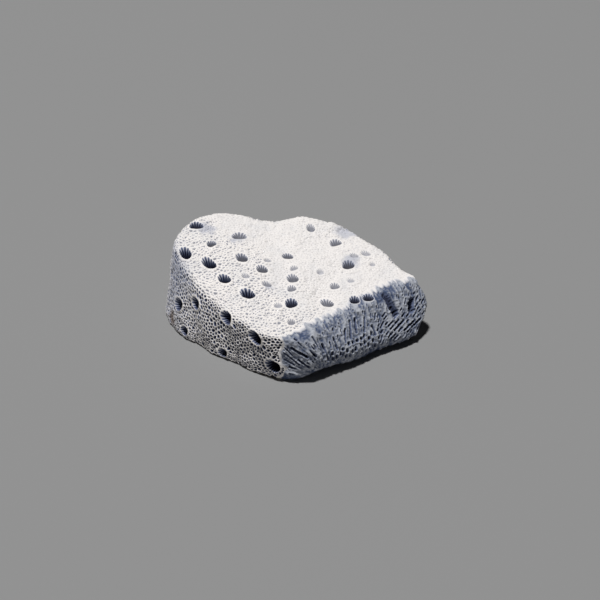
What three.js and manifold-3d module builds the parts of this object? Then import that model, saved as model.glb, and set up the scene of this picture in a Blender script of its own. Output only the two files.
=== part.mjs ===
// A broken slab of porous coral skeleton, lying on its flat underside.
// Millimetres, +Z up. X is the long way. The natural skin looks left and up, and the broken face
// looks to the right and the front (+X and -Y).

import * as THREE from "three";
import { mergeVertices } from "three/addons/utils/BufferGeometryUtils.js";
import Module from "manifold-3d";

const wasm = await Module();
wasm.setup();

// The outside is measured from a centre inside the slab, this high above the underside.
const CENTRE_HEIGHT = 3.2;

// The slab's facets: which way each one faces from the centre, in degrees round from +X and in
// degrees above level, and how far out its plane lies.
const FACETS = [
  { round: -128, rise: 2, reach: 9.0 }, // skin at the left front
  { round: -133, rise: -45, reach: 9.1 }, // its undercut foot
  { round: -141, rise: 12, reach: 9.3 }, // upper part of the left front
  { round: -162, rise: 17, reach: 10.95 }, // left side
  { round: 169, rise: -1, reach: 13.4 }, // left end
  { round: -122, rise: 66, reach: 5.25 }, // slope from the left front to the top
  { round: -68, rise: 81, reach: 2.65 }, // top, which falls towards the front
  { round: 159, rise: 39, reach: 12.15 }, // crest at the back left
  { round: 122, rise: 20, reach: 12.9 }, // back left
  { round: 84, rise: 15, reach: 9.75 }, // back
  { round: 62, rise: 15, reach: 11.1 }, // back, right of the middle
  { round: 36, rise: 15, reach: 9.95 }, // back right
  { round: 0, rise: 40, reach: 11.1 }, // right shoulder
  { round: -8, rise: 0, reach: 13.0 }, // right end
  { round: -52, rise: 34, reach: 6.9 }, // upper part of the broken face
  { round: -58, rise: -2, reach: 9.15 }, // lower part of the broken face
  { round: -58, rise: -50, reach: 7.5 }, // its undercut foot
  { round: -98, rise: 8, reach: 9.45 }, // front corner
  { round: -98, rise: -45, reach: 8.85 }, // its foot
  { round: 10, rise: -45, reach: 9.45 }, // foot of the right end
  { round: 90, rise: -40, reach: 12.5 }, // foot of the back
];

// The higher this is, the tighter the rounding where two facets meet.
const EDGE_TIGHTNESS = 34;

// Broad swellings and hollows: where each one is, how high it stands and how wide it spreads, as
// a part of the distance from the centre.
const SWELLINGS = [
  { round: 157, rise: 26, height: 0.95, spread: 0.3 }, // knob at the back left
  { round: 113, rise: 26, height: -0.85, spread: 0.22 }, // saddle of the back edge
  { round: 88, rise: 24, height: 0.18, spread: 0.2 }, // knob at the back
  { round: 57, rise: 24, height: -0.63, spread: 0.18 }, // notch right of that knob
  { round: -52, rise: 22, height: -0.8, spread: 0.28 }, // hollow of the broken face
];

// Low waves all over the skin: turns per millimetre along X, Y and Z in radians, and a start.
const WAVE_HEIGHT = 0.07;
const WAVES = [
  { turn: new THREE.Vector3(0.9, 0.5, 0.3), start: 0.4 },
  { turn: new THREE.Vector3(-0.5, 1.1, -0.6), start: 1.9 },
  { turn: new THREE.Vector3(1.3, -0.8, 0.9), start: 4.1 },
];

// Large pores of the top: X and Y from the centre, and the width of the mouth.
const TOP_PORES = [
  [-11.0, 2.2, 1.15], [-8.6, 0.8, 1.15], [-7.0, -1.3, 1.1], [-4.7, -3.3, 1.15],
  [-10.2, 6.6, 1.4], [-8.5, 3.6, 0.95], [-5.4, 1.7, 0.95], [-5.8, 5.3, 1.2],
  [-3.4, 0.3, 0.9], [-0.4, -0.7, 0.95], [-0.5, -4.3, 1.1], [3.9, 5.3, 0.95],
  [5.1, 1.8, 1.0], [-0.9, 2.7, 0.9], [-2.9, 1.7, 0.6], [-5.0, -0.7, 0.7],
  [-2.9, -1.6, 0.7], [-0.3, 0.8, 0.7], [-0.5, -2.1, 0.8], [-1.8, -4.7, 0.7],
  [2.9, -3.6, 0.9], [3.7, -1.4, 0.8], [5.3, -0.5, 0.6], [5.7, 3.3, 0.7],
  [2.3, 0.6, 0.7], [1.4, 7.2, 0.8], [6.9, 3.7, 0.8], [7.5, 2.1, 0.6],
  [-0.5, -6.9, 0.7],
];

// Large pores of the sides that the front view shows: degrees round, height and width.
const SIDE_PORES = [
  [-139, 4.6, 1.1], [-115, 4.0, 1.15], [-165, 4.2, 1.05], [-176, 2.9, 1.0],
  [169, 4.2, 1.0], [-168, 0.8, 0.9], [-140, 0.7, 0.9], [-103, 1.5, 1.1],
  [-8, 3.3, 1.3], [-30, 4.9, 0.9], [-23, 4.9, 0.9], [-7, 5.1, 1.0],
];

// The pores of the hidden back stand in three staggered rows.
const BACK_PORES = { from: 16, to: 160, count: 22, heights: [1.7, 4.6, 3.1], width: 0.95 };

// A pore is a blind hole that narrows towards its bottom.
const PORE = { depth: 1.3, standOut: 0.5, taper: 0.55, sides: 8 };

// The skin's mesh starts from a twenty-sided solid with this many extra corners along each edge,
// stretched to about the slab's half sizes so that its triangles come out nearly even.
const SKIN_STEPS = 13;
const SKIN_STRETCH = new THREE.Vector3(13, 11, 4.5);

// A length that reaches outside the slab from any place in it.
const OUTSIDE_BLOCK = 60;

// Halvings that find the skin to well under a thousandth of a millimetre.
const HALVINGS = 30;

// Corners nearer than this are one corner.
const MERGE_DISTANCE = 1e-5;

const CORAL_FINISH = new THREE.MeshStandardMaterial({
  color: 0xd6d3d1,
  roughness: 0.9,
  metalness: 0,
});

function facing(round, rise) {
  const around = THREE.MathUtils.degToRad(round);
  const up = THREE.MathUtils.degToRad(rise);
  return new THREE.Vector3(
    Math.cos(up) * Math.cos(around),
    Math.cos(up) * Math.sin(around),
    Math.sin(up),
  );
}

const PLANES = FACETS.map(({ round, rise, reach }) => ({ normal: facing(round, rise), reach }));
const BUMPS = SWELLINGS.map(({ round, rise, height, spread }) => ({
  middle: facing(round, rise),
  height,
  spread,
}));

// How far the skin is from the centre in a direction: a soft minimum over the facets' planes,
// then the swellings, then the waves.
function skinReach(direction) {
  let total = 0;
  for (const { normal, reach } of PLANES) {
    total += Math.pow(Math.max(0, normal.dot(direction)) / reach, EDGE_TIGHTNESS);
  }
  let distance = Math.pow(total, -1 / EDGE_TIGHTNESS);
  for (const { middle, height, spread } of BUMPS) {
    distance += height * Math.exp(-middle.distanceToSquared(direction) / (spread * spread));
  }
  const place = direction.clone().multiplyScalar(distance);
  for (const { turn, start } of WAVES) {
    distance += WAVE_HEIGHT * Math.sin(turn.dot(place) + start);
  }
  return distance;
}

// Which way the skin faces at a direction: the facets' normals, weighted by how near each is.
function skinNormal(direction) {
  const distance = skinReach(direction);
  const outward = new THREE.Vector3();
  for (const { normal, reach } of PLANES) {
    const nearness = (Math.max(0, normal.dot(direction)) * distance) / reach;
    outward.addScaledVector(normal, Math.pow(nearness, EDGE_TIGHTNESS) / reach);
  }
  return outward.normalize();
}

// Where a path that starts inside the slab leaves the skin, found by halving.
function leaveSkin(pathPoint, farthest) {
  let inside = 0;
  let outside = farthest;
  for (let halving = 0; halving < HALVINGS; halving += 1) {
    const middle = (inside + outside) / 2;
    const place = pathPoint(middle);
    if (place.length() < skinReach(place.clone().normalize())) {
      inside = middle;
    } else {
      outside = middle;
    }
  }
  return pathPoint(inside);
}

// The place on the top over a point X, Y.
function topPlace(x, y) {
  return leaveSkin((rise) => new THREE.Vector3(x, y, rise), OUTSIDE_BLOCK);
}

// The place on the sides in a direction round the slab, at a height over the underside.
function sidePlace(round, height) {
  const outward = facing(round, 0);
  const level = new THREE.Vector3(0, 0, height - CENTRE_HEIGHT);
  return leaveSkin((reach) => outward.clone().multiplyScalar(reach).add(level), OUTSIDE_BLOCK);
}

function toSolid(geometry) {
  const bare = geometry.clone();
  bare.deleteAttribute("normal");
  bare.deleteAttribute("uv");
  const merged = mergeVertices(bare, MERGE_DISTANCE);
  return new wasm.Manifold(
    new wasm.Mesh({
      numProp: 3,
      vertProperties: new Float32Array(merged.attributes.position.array),
      triVerts: new Uint32Array(merged.index.array),
    }),
  );
}

function toGeometry(solid) {
  const mesh = solid.getMesh();
  const geometry = new THREE.BufferGeometry();
  geometry.setAttribute("position", new THREE.BufferAttribute(mesh.vertProperties, 3));
  geometry.setIndex(new THREE.BufferAttribute(mesh.triVerts, 1));
  return geometry;
}

// The skin is a twenty-sided solid, divided into small triangles, with each corner moved out or
// in until it lies on the skin.
function makeSlab() {
  const geometry = new THREE.IcosahedronGeometry(1, SKIN_STEPS);
  const corners = geometry.attributes.position;
  const corner = new THREE.Vector3();
  for (let i = 0; i < corners.count; i += 1) {
    corner.fromBufferAttribute(corners, i).multiply(SKIN_STRETCH).normalize();
    corner.multiplyScalar(skinReach(corner));
    corners.setXYZ(i, corner.x, corner.y, corner.z);
  }
  return toSolid(geometry);
}

// The block below the level of the underside, which cuts the slab flat.
function makeUndersideCutter() {
  const block = new THREE.BoxGeometry(OUTSIDE_BLOCK, OUTSIDE_BLOCK, OUTSIDE_BLOCK);
  block.translate(0, 0, -OUTSIDE_BLOCK / 2 - CENTRE_HEIGHT);
  return toSolid(block);
}

// A pore is square to the skin, with its mouth a little outside it so that the cut is clean.
function makePore(place, width) {
  const mouth = width / 2;
  const length = PORE.depth + PORE.standOut;
  const hole = new THREE.CylinderGeometry(mouth, mouth * PORE.taper, length, PORE.sides);
  hole.translate(0, PORE.standOut - length / 2, 0);
  const outward = skinNormal(place.clone().normalize());
  const turn = new THREE.Quaternion().setFromUnitVectors(new THREE.Vector3(0, 1, 0), outward);
  hole.applyQuaternion(turn);
  hole.translate(place.x, place.y, place.z);
  return toSolid(hole);
}

function makeAllPores() {
  const pores = [];
  for (const [x, y, width] of TOP_PORES) {
    pores.push(makePore(topPlace(x, y), width));
  }
  for (const [round, height, width] of SIDE_PORES) {
    pores.push(makePore(sidePlace(round, height), width));
  }
  const { from, to, count, heights, width } = BACK_PORES;
  for (let i = 0; i < count; i += 1) {
    const round = from + ((to - from) * i) / (count - 1);
    pores.push(makePore(sidePlace(round, heights[i % heights.length]), width));
  }
  return pores;
}

function makeCoral() {
  let solid = makeSlab().subtract(makeUndersideCutter());
  for (const pore of makeAllPores()) {
    solid = solid.subtract(pore);
  }
  const geometry = toGeometry(solid);
  geometry.computeBoundingBox();
  const middle = geometry.boundingBox.getCenter(new THREE.Vector3());
  geometry.translate(-middle.x, -middle.y, CENTRE_HEIGHT);
  geometry.computeVertexNormals();
  return geometry;
}

const coral = new THREE.Mesh(makeCoral(), CORAL_FINISH);
coral.name = "coral";

const spongeCoral = new THREE.Group();
spongeCoral.add(coral);

export default spongeCoral;
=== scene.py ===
import math

import bpy
import numpy as np
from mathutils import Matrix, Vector
from mathutils.geometry import delaunay_2d_cdt


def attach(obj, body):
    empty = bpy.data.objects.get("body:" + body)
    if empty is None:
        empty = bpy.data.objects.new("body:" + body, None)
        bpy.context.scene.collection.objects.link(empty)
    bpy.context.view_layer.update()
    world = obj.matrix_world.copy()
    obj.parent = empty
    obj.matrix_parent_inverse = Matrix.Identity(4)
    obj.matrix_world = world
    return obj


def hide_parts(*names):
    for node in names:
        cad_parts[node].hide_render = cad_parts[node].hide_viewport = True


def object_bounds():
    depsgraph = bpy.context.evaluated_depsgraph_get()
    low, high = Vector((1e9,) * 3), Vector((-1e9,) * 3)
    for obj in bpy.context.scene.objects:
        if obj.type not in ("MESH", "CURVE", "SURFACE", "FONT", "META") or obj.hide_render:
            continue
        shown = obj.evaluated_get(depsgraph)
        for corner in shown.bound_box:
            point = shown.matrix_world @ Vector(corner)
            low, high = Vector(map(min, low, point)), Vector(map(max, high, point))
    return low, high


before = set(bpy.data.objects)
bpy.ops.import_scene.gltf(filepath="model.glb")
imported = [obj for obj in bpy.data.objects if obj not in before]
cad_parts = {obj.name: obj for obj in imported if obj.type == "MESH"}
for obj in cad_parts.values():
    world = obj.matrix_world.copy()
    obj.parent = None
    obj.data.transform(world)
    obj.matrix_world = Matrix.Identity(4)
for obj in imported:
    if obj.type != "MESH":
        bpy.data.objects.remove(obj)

# The looks of one broken slab of porous coral skeleton. Shapes are worked out in millimetres from
# a centre inside the slab, and go into the mesh in metres. The skin is one closed net of
# triangles. On natural skin its corners are the small pores and the rims of the large ones, and
# on the broken faces they stand close enough to carry the cut tubes as relief.

cad_low, cad_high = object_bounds()
MILLIMETRE = 0.001
random = np.random.default_rng(20)

# The slab's outside, as in the CAD model: the centre's height over the underside, and for each
# facet the degrees round from +X, the degrees above level and the reach of its plane.
CENTRE_HEIGHT = 3.2
EDGE_TIGHTNESS = 34
FACETS = {
    "left front": (-128, 2, 9.0),
    "left front foot": (-133, -45, 9.1),
    "upper left front": (-141, 12, 9.3),
    "left side": (-162, 17, 10.95),
    "left end": (169, -1, 13.4),
    "slope": (-122, 66, 5.25),
    "top": (-68, 81, 2.65),
    "crest": (159, 39, 12.15),
    "back left": (122, 20, 12.9),
    "back": (84, 15, 9.75),
    "back middle": (62, 15, 11.1),
    "back right": (36, 15, 9.95),
    "right shoulder": (0, 40, 11.1),
    "right end": (-8, 0, 13.0),
    "break top": (-52, 34, 6.9),
    "break": (-58, -2, 9.15),
    "break foot": (-58, -50, 7.5),
    "corner": (-98, 8, 9.45),
    "corner foot": (-98, -45, 8.85),
    "right foot": (10, -45, 9.45),
    "back foot": (90, -40, 12.5),
}
BROKEN_FACETS = ("break top", "break", "break foot", "right end", "right foot")
CORNER_FACETS = ("corner", "corner foot")
HIDDEN_BREAK = "back right"

# Swellings and hollows: degrees round, degrees up, height, spread. Waves: turn along X, Y, Z, start.
SWELLINGS = (
    (157, 26, 0.95, 0.3), (113, 26, -0.85, 0.22), (88, 24, 0.18, 0.2), (57, 24, -0.63, 0.18),
    (-52, 22, -0.8, 0.28),
)
WAVES = ((0.9, 0.5, 0.3, 0.4), (-0.5, 1.1, -0.6, 1.9), (1.3, -0.8, 0.9, 4.1))
WAVE_HEIGHT = 0.07

# Large pores of the top: X and Y from the centre, width of the mouth, depth.
TOP_PORES = (
    (-11.0, 2.2, 1.15, 1.3), (-8.6, 0.8, 1.2, 1.3), (-7.0, -1.3, 1.1, 1.3), (-4.7, -3.3, 1.15, 1.3),
    (-10.2, 6.6, 1.1, 0.8), (-8.5, 3.6, 0.9, 0.6), (-5.4, 1.7, 0.95, 0.6), (-5.8, 5.3, 1.15, 0.5),
    (-3.4, 0.3, 0.85, 0.55), (-0.4, -0.7, 0.95, 0.5), (-0.5, -4.3, 1.05, 0.8), (3.9, 5.3, 0.95, 0.5),
    (5.1, 1.8, 1.0, 0.65), (-0.9, 2.7, 0.9, 0.55), (-2.9, 1.7, 0.6, 0.25), (-5.0, -0.7, 0.7, 0.25),
    (-2.9, -1.6, 0.7, 0.35), (-0.3, 0.8, 0.7, 0.3), (-0.5, -2.1, 0.8, 0.4), (-1.8, -4.7, 0.7, 0.25),
    (2.9, -3.6, 0.9, 0.5), (3.7, -1.4, 0.8, 0.4), (5.3, -0.5, 0.6, 0.2), (5.7, 3.3, 0.7, 0.25),
    (2.3, 0.6, 0.7, 0.2), (1.4, 7.2, 0.8, 0.4), (6.9, 3.7, 0.8, 0.25), (7.5, 2.1, 0.6, 0.2),
    (-0.5, -6.9, 0.7, 0.35),
)

# Large pores of the sides: degrees round, height over the underside, width, depth.
SIDE_PORES = (
    (-139, 4.6, 1.1, 1.4), (-115, 4.0, 1.15, 1.4), (-165, 4.2, 1.05, 1.3), (-176, 2.9, 1.0, 1.3),
    (169, 4.2, 1.0, 1.2), (-168, 0.8, 0.8, 1.2), (-140, 0.7, 0.75, 1.2), (-103, 1.5, 1.1, 1.4),
    (-30.5, 5.0, 0.88, 0.8), (-22.5, 5.0, 0.88, 0.8),
)

# The pores of the hidden back stand in three staggered rows.
BACK_PORES = {
    "from": 16, "to": 160, "count": 22, "heights": (1.7, 4.6, 3.1), "width": 0.95, "depth": 1.2,
}

# A large pore's septa, the share of the half width at its rim, and its rings from the mouth in:
# share of the depth, then share of the half width in the grooves and on the septa.
SEPTA = 15
PORE_RIM = 1.2
PORE_RINGS = (
    (0.03, 1.17, 1.04),
    (0.15, 1.12, 0.86),
    (0.4, 1.02, 0.7),
    (0.7, 0.88, 0.55),
    (1.0, 0.55, 0.42),
)

# A large pore's tube leans, so that its far wall is drawn out, and its near lip stands up. Its
# bottom lies a little deeper than its last ring.
PORE_FAR_WAY = np.array([-0.35, 0.9, 0.25])
PORE_STRETCH = 0.5
PORE_STRETCH_FALL = 1.5
PORE_LEAN = 0.2
PORE_LIP = 0.1
PORE_FLOOR = 1.05

# How far large pores are from round: the sway of their width, and what chance takes off it, which
# starts at the rim and is full at this share of the depth. Then the room for the rims, which small
# pores and close points leave free, as a share of their size.
PORE_SWAY = 0.06
PORE_UNEVENNESS = 0.13
UNEVEN_BY = 0.1
RIM_ROOM = 1.07

# How far the septa stand out: least and range, by how far they are on the far wall and by chance.
SEPTA_BY_FARNESS = (0.65, 0.35)
SEPTA_BY_CHANCE = (0.6, 0.5)

# Cut tubes that the front shows: degrees round and height of both ends, width.
SEEN_SLOT_DEPTH = 0.42
SEEN_SLOTS = (
    (-91, 4.5, -79, 2.7, 0.28), (-93, 3.7, -84, 2.8, 0.26), (-89, 2.5, -83, 1.7, 0.22),
    (-94, 1.7, -83, 1.2, 0.22), (-94, 1.0, -84, 0.8, 0.22), (-74, 3.4, -71, 1.8, 0.28),
    (-65, 3.5, -64, 2.5, 0.22), (-54, 3.7, -57, 2.8, 0.22), (-47, 4.1, -52, 2.9, 0.26),
    (-42, 4.1, -46, 3.1, 0.24), (-35, 3.9, -40, 2.9, 0.22), (-33, 3.1, -34, 2.3, 0.22),
    (-23, 2.1, -16, 2.6, 0.24), (-19, 1.8, -12, 2.2, 0.24), (-15, 1.8, -9, 2.1, 0.24),
)

# Large pores cut lengthwise by the break: degrees round and height of both ends, half width, depth.
GROOVES = ((-14.5, 5.0, -17.5, 3.4, 0.42, 0.55), (-10.0, 3.1, -7.0, 3.75, 0.36, 0.55))

# One tube seen end on as a pale ring: degrees round, height; the ring's radius, height and width.
END_RING = (-19, 3.9, 0.36, 0.1, 0.09)

# A bump and a dent that notch the back edge: X, Y and Z from the centre, radius, height.
BACK_NOTCH = ((3.7, 8.0, 3.6, 0.7, 0.22), (4.8, 7.5, 3.4, 0.45, -0.3))

# Distances between neighbouring small pores, and between points of the broken faces.
SKIN_SPACING = 0.335
UNDERSIDE_SPACING = 0.6
FRONT_SPACING = 0.068
BACK_SPACING = 0.115

# An even net of triangles has this many points in a square as wide as their distance.
POINTS_PER_SQUARE = 1.155

# Small pores: their depth, how far they open and how much shorter they stay downhill on level
# skin, each by chance from a least value over a range; what wear takes off the first two; and how
# much further they open towards a neighbour of another kind.
SMALL_PORE_DEPTH = 0.4
DEPTH_BY_CHANCE = (0.75, 0.5)
OPENNESS_BY_CHANCE = (0.68, 0.22)
SQUEEZE_BY_CHANCE = (0.35, 0.45)
WORN_DEPTH_LOSS = 0.8
WORN_OPENNESS_LOSS = 0.55
OPENING_TO_NEIGHBOUR = 0.15

# Walls between small pores: by which chances, on which slopes and how far they are worn down, how much
# less where the pores are worn too, and how much painted shade that puts on them.
LOWERED_CHANCES = (0.6, 1.1)
LOWERED_SLOPES = (0.3, 0.8)
WALL_LOWERING = 0.22
WORN_LOWERING_LOSS = 0.7
LOWERED_SHADE = 0.07

# How upright the normal is where the skin counts as level, and how far the painted shade in its pores
# pales there, as painted light from above, from a least value over a range by their wear.
LEVEL_SLOPES = (0.45, 0.85)
LEVEL_PALING_BY_WEAR = (0.45, 0.45)

# On a scale from 0 outside the broken faces to 1 inside: their border, where the close points
# start, and where the broken relief sets in.
BORDER = 0.5
FINE_FROM = 0.2
RELIEF_FROM = (0.42, 0.56)

# Steps round and down of the chart, of the cells that points are scattered over, and of the grid
# for the smooth skin's box. Then the rounds of evening out all points and the close ones.
CHART_GRID = (512, 1400)
CELL_GRID = (360, 400)
BOX_GRID = (256, 400)
RELAXING_ROUNDS = 9
BREAK_ROUNDS = 2

# Clearances of small pores and of close points to the rims of large pores.
PORE_MARGIN = 0.07
FILL_MARGIN = 0.02

# Roughness, as layers of random values: height, size and seed.
SKIN_ROUGHNESS = ((0.06, 1.3, 31), (0.05, 0.5, 32), (0.03, 0.2, 33))
WALL_ROUGHNESS = ((0.05, 0.25, 34),)
BREAK_ROUGHNESS = ((0.05, 0.45, 43), (0.06, 0.17, 44))

# Paths out of the slab start this far off its axis or over its centre, end this far out, and are
# halved this often. A place this little over the underside's plane is still on it.
NEAR_CENTRE = 0.01
FAR_OUT = 60.0
HALVINGS = 30
UNDERSIDE_SLACK = 0.02


def facing(round_degrees, rise_degrees):
    """Unit directions: cosine of the rise times cosine and sine of the turn, then its sine."""
    turn, rise = np.radians(round_degrees), np.radians(rise_degrees)
    return np.stack([np.cos(rise) * np.cos(turn), np.cos(rise) * np.sin(turn), np.sin(rise)], -1)


FACET_NAMES = list(FACETS)
FACET_ROWS = np.array(list(FACETS.values()), float)
FACET_NORMALS = facing(FACET_ROWS[:, 0], FACET_ROWS[:, 1])
FACET_REACHES = FACET_ROWS[:, 2]


def length_of(vectors):
    return np.linalg.norm(vectors, axis=-1, keepdims=True)


def facet_weights(direction):
    """Each facet's share in the skin: its nearness along the direction, to a high power."""
    nearness = np.maximum(direction @ FACET_NORMALS.T, 0) / FACET_REACHES
    nearest = nearness.max(-1, keepdims=True)
    weights = (nearness / nearest) ** EDGE_TIGHTNESS
    return weights, nearest[..., 0]


def skin_reach(direction):
    """Distance of the skin: a soft minimum over the facets, plus swellings and waves, cut flat
    where it would pass below the underside."""
    weights, nearest = facet_weights(direction)
    reach = weights.sum(-1) ** (-1 / EDGE_TIGHTNESS) / nearest
    for turn, rise, height, spread in SWELLINGS:
        gap = ((direction - facing(turn, rise)) ** 2).sum(-1)
        reach = reach + height * np.exp(-gap / spread**2)
    place = direction * reach[..., None]
    for wave in WAVES:
        reach = reach + WAVE_HEIGHT * np.sin(place @ np.array(wave[:3]) + wave[3])
    downward = np.maximum(-direction[..., 2], 1e-9)
    return np.minimum(reach, CENTRE_HEIGHT / downward)


def on_skin(place):
    """Moves places along their direction from the centre until they lie on the skin."""
    direction = place / length_of(place)
    return direction * skin_reach(direction)[..., None]


def is_under(place):
    """True on the flat underside."""
    return place[..., 2] < -CENTRE_HEIGHT + UNDERSIDE_SLACK


def skin_normal(place):
    """Outward normal: the facets' normals, weighted by their shares; straight down underneath."""
    weights, _ = facet_weights(place / length_of(place))
    normal = (weights / FACET_REACHES) @ FACET_NORMALS
    normal /= length_of(normal)
    return np.where(is_under(place)[..., None], np.array([0.0, 0.0, -1.0]), normal)


def leave_skin(start, step):
    """Where straight paths from inside the slab leave the skin, by halving."""
    inside, outside = np.zeros(len(start)), np.full(len(start), FAR_OUT)
    for _ in range(HALVINGS):
        middle = (inside + outside) / 2
        place = start + step * middle[:, None]
        length = length_of(place)
        within = length[:, 0] < skin_reach(place / length)
        inside = np.where(within, middle, inside)
        outside = np.where(within, outside, middle)
    return start + step * inside[:, None]


def top_places(x, y):
    """Places on the top, straight above X and Y."""
    start = np.stack([x, y, np.full(len(x), NEAR_CENTRE)], -1)
    return leave_skin(start, np.array([[0.0, 0.0, 1.0]]))


def side_places(turn, height):
    """Places on the sides, level outwards at a turn and a height over the underside."""
    start = np.zeros((len(turn), 3))
    start[:, 2] = height - CENTRE_HEIGHT
    outward = facing(turn, np.zeros(len(turn)))
    return leave_skin(start + outward * NEAR_CENTRE, outward)


# Numbers that mix a lattice corner's three places and a seed into one random number of 32 bits.
PLACE_FACTORS = (73856093, 19349663, 83492791)
SEED_FACTOR = 2654435761
MIX_FACTOR = 1274126177
MIX_SHIFTS = (13, 16)
ALL_BITS = 0xFFFFFFFF


def grain(place, size, seed):
    """Smooth random values from -1 to 1: hashed lattice corners, blended between."""
    scaled = place / size
    corner = np.floor(scaled).astype(np.int64)
    blend = scaled - corner
    blend = blend * blend * (3 - 2 * blend)
    total = np.zeros(place.shape[:-1])
    for step in np.ndindex(2, 2, 2):
        cell = corner + np.array(step)
        x, y, z = (cell[..., axis] * factor for axis, factor in enumerate(PLACE_FACTORS))
        mixed = (x ^ y ^ z ^ seed * SEED_FACTOR) & ALL_BITS
        mixed = (mixed ^ (mixed >> MIX_SHIFTS[0])) * MIX_FACTOR & ALL_BITS
        mixed = mixed ^ (mixed >> MIX_SHIFTS[1])
        share = np.where(np.array(step) == 1, blend, 1 - blend).prod(-1)
        total += share * (mixed / 2**31 - 1)
    return total


def roughness(place, layers):
    """The sum of random values, each with its own height, size and seed."""
    return sum(height * grain(place, size, seed) for height, size, seed in layers)


def smooth_step(value, low, high):
    """0 below low, 1 above high, and an S-shaped rise between."""
    share = np.clip((value - low) / (high - low), 0, 1)
    return share * share * (3 - 2 * share)


def smooth_fall(value, low, high):
    """1 below low, 0 above high, and an S-shaped fall between."""
    return smooth_step(-value, -high, -low)


def in_range(least_and_range, share):
    """The least value plus a share of the range."""
    least, spread = least_and_range
    return least + spread * share


# The border of the broken faces: how far and over what distance it is shaken, the heights where
# the hidden face ends, the degrees round where the front one starts on the corner, and their sway.
BORDER_SHAKE = 0.22
BORDER_GRAIN = 0.7
HIDDEN_BREAK_TOP = (4.4, 5.2)
CORNER_START = (-100, -96)
CORNER_SWAY = 4

# The broken strip of the top: its depth under the plane of the break's top, where it sets in by
# height and by degrees round, and what it loses towards the right end. Then where it is ragged.
STRIP_DEPTH = 0.85
STRIP_HEIGHTS = (3.8, 4.6)
STRIP_START = (-98, -92)
STRIP_LOSS = 0.6
STRIP_LOSS_FROM = (8.5, 11.0)
RAGGEDNESS = 0.5
RAGGED_HEIGHTS = (3.4, 4.4)
RAGGED_FROM = (0.02, 0.3)


def brokenness(place):
    """How far a place lies in the broken faces, from about 0 to about 1: the facets' shares, with a
    shaken border that the flutes make ragged. In front it takes a strip of the top too, by the
    depth under the plane of the break's top. The hidden broken face ends below the top's edge."""
    shift = np.stack([grain(place, BORDER_GRAIN, seed) for seed in (11, 12, 13)], -1)
    direction = place + BORDER_SHAKE * shift
    direction /= length_of(direction)
    weights, _ = facet_weights(direction)
    weights /= weights.sum(-1, keepdims=True)
    height = place[..., 2] + CENTRE_HEIGHT
    broken = sum(weights[..., FACET_NAMES.index(name)] for name in BROKEN_FACETS)
    hidden = weights[..., FACET_NAMES.index(HIDDEN_BREAK)] * smooth_fall(height, *HIDDEN_BREAK_TOP)
    corner = sum(weights[..., FACET_NAMES.index(name)] for name in CORNER_FACETS)
    turn = np.degrees(np.arctan2(direction[..., 1], direction[..., 0]))
    turn = turn + CORNER_SWAY * grain(place, 0.8, seed=14)
    broken = broken + hidden + corner * smooth_step(turn, *CORNER_START)
    upper = FACET_NAMES.index("break top")
    depth = FACET_REACHES[upper] - place @ FACET_NORMALS[upper]
    loss = STRIP_LOSS * smooth_step(place[..., 0], *STRIP_LOSS_FROM)
    strip = np.clip(BORDER + STRIP_DEPTH - depth - loss, 0, 1)
    strip = strip * smooth_step(height, *STRIP_HEIGHTS) * smooth_step(turn, *STRIP_START)
    broken = np.maximum(broken, strip)
    ragged = RAGGEDNESS * flutes(place) * smooth_step(height, *RAGGED_HEIGHTS)
    return np.where(is_under(place), 0.0, broken + ragged * smooth_step(broken, *RAGGED_FROM))


def is_broken(place):
    return brokenness(place) > BORDER


# Wear: how upright the normal is where it sets in, the way along X and Y in which it grows, the
# distances along that way where it sets in, how far these sway, and how patchy it is.
WORN_SLOPES = (0.8, 0.95)
WORN_WAY = (0.75, 0.65)
WORN_FROM = (-4.5, 0.0)
WORN_SWAY = 2.0
WORN_PATCHES = 0.35


def wornness(place):
    """How worn the small pores are: 1 on the middle and right of the top, 0 on the sides."""
    level = smooth_step(skin_normal(place)[..., 2], *WORN_SLOPES)
    across = place[..., 0] * WORN_WAY[0] + place[..., 1] * WORN_WAY[1]
    across = across + WORN_SWAY * grain(place, 1.8, seed=5)
    patches = WORN_PATCHES * grain(place, 0.9, seed=6)
    return level * np.clip(smooth_step(across, *WORN_FROM) + patches, 0, 1)


# Tubes fan out from this place at the front corner, and lean more and more to the right after it.
FAN_PLACE = np.array([2.6, -9.0, 0.6 - CENTRE_HEIGHT])
BREAK_RIGHTWARD = facing(32, 0)
BACK_RIGHTWARD = facing(126, 0)
UPWARD = np.array([0.0, 0.0, 1.0])

# A broken face beyond this Y is the hidden one.
BACK_FROM = 0.5

# How far tubes lean for each millimetre up: right of the fan for each millimetre to the right, at
# the right end with the distances and heights where that sets in and ends, and on the hidden face.
LEAST_RISE = 0.25
RIGHT_LEAN = 0.04
END_LEAN = 1.2
END_LEAN_FROM = (6.0, 8.8)
END_LEAN_TOP = (2.6, 3.6)
BACK_LEAN = 0.3


def break_coordinates(place):
    """Distance to the right of the fan's foot, and height over it."""
    return (place - FAN_PLACE) @ BREAK_RIGHTWARD, place[..., 2] - FAN_PLACE[2]


def tube_direction(place, normal):
    """Which way the tubes run in the skin's plane: straight away from the fan's foot to its left,
    upright to its right, leaning at the right end, and nearly upright on the hidden broken face."""
    along, rise = break_coordinates(place)
    fan = along / np.maximum(rise, LEAST_RISE)
    end = END_LEAN * smooth_step(along, *END_LEAN_FROM) * smooth_fall(rise, *END_LEAN_TOP)
    lean = np.where(along < 0, fan, RIGHT_LEAN * along + end)
    front = lean[..., None] * BREAK_RIGHTWARD + UPWARD
    back = UPWARD + BACK_LEAN * BACK_RIGHTWARD
    raw = np.where((place[..., 1] > BACK_FROM)[..., None], back, front)
    raw = raw - (raw * normal).sum(-1, keepdims=True) * normal
    return raw / length_of(raw)


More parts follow.
